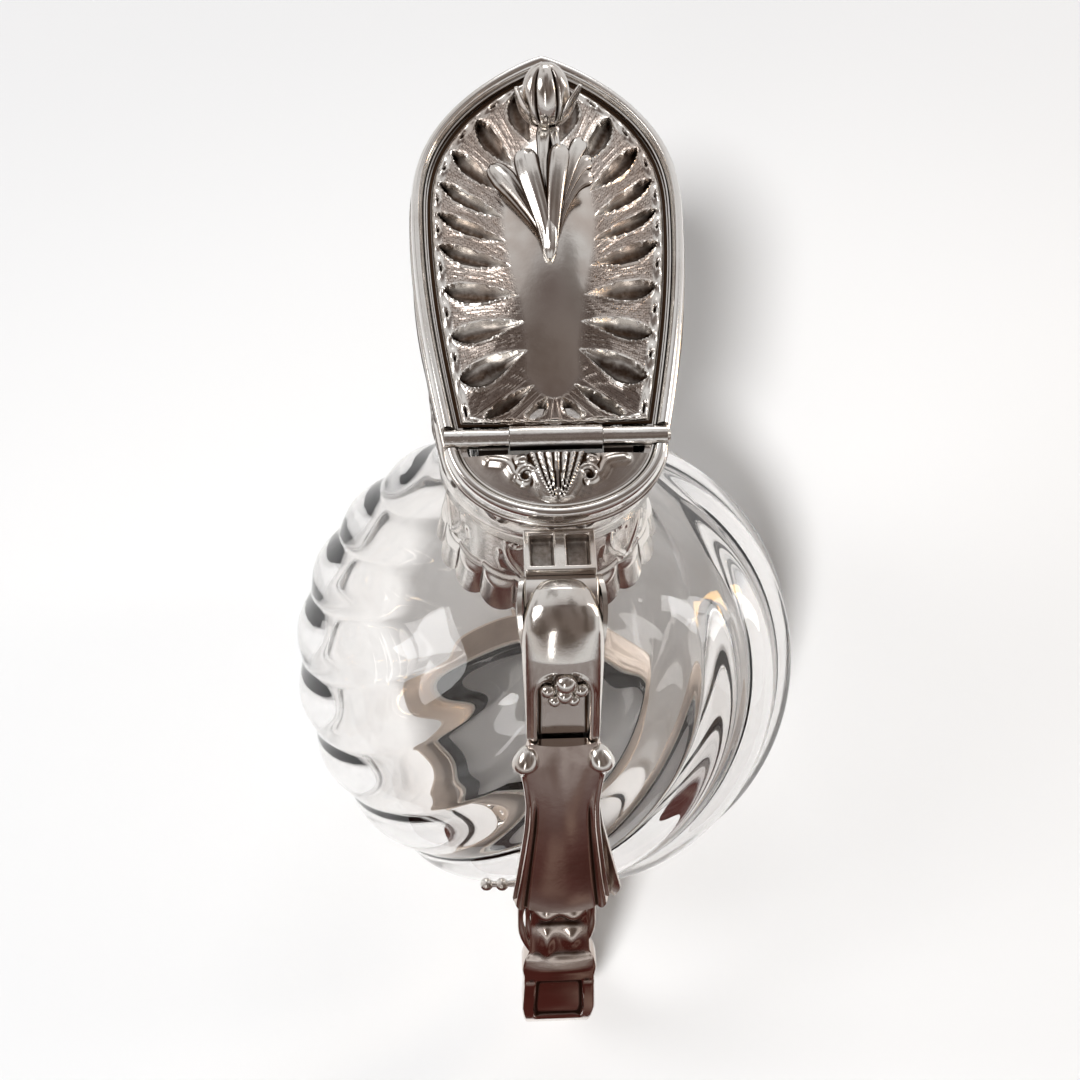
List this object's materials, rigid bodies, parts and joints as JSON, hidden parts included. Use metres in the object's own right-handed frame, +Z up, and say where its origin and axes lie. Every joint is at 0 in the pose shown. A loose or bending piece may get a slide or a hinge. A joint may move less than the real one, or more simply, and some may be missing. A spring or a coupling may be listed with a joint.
{
  "type": "claret jug",
  "caption": "Spiral-fluted glass serving jug in silver mounts, with a hinged gadrooned spout lid, a flower-bud finial and a cast scroll handle",
  "frame": {"origin": "centre of the foot ring's underside, on the glass body's axis", "axes": "+Z up along the body's axis, +Y towards the spout, -Y towards the handle, +X to the right seen from the handle"},
  "size_m": [0.143, 0.1718, 0.2309],
  "materials": {
    "clear_glass": "clear blown glass, polished, with spiral flutes",
    "silver": "polished sterling silver",
    "chased_silver": "chased silver with dark patina in its hollows",
    "cast_silver": "cast and chased silver, warm patina in its hollows",
    "fittings": "plain drawn silver wire and screws, worn",
    "plaster": "setting plaster, hidden"
  },
  "bodies": {
    "jug": {"glass_body": "clear_glass", "neck_cement": "plaster", "foot_cement": "plaster", "neck_sleeve": "silver", "collar_apron": "chased_silver", "spout_bowl": "chased_silver", "mouth_rim": "silver", "rear_rim": "silver", "rear_cover": "chased_silver", "hinge_knuckle_left": "silver", "hinge_knuckle_right": "silver", "hinge_pin": "fittings", "handle_bracket": "cast_silver", "handle_upper_scroll": "cast_silver", "handle_thumb_leaf": "cast_silver", "handle_berries": "cast_silver", "handle_side_scrolls": "cast_silver", "handle_lower_leaf": "cast_silver", "handle_lower_scroll": "cast_silver", "handle_sprig": "cast_silver", "handle_screw": "fittings", "handle_washer": "fittings", "foot_gallery": "silver", "foot_ring": "silver"},
    "lid": {"hinge_knuckle_lid": "silver", "lid_shell": "chased_silver", "lid_rim": "silver", "lid_bezel": "silver", "finial_stem": "cast_silver", "finial_leaves": "cast_silver", "finial_bud": "cast_silver", "finial_nut": "fittings"}
  },
  "joints": [
    {"name": "lid_hinge", "type": "hinge", "parent": "jug", "child": "lid", "pos_m": [0, -0.028, 0.18599], "axis": [1, 0, 0], "range_deg": [0, 100]}
  ]
}
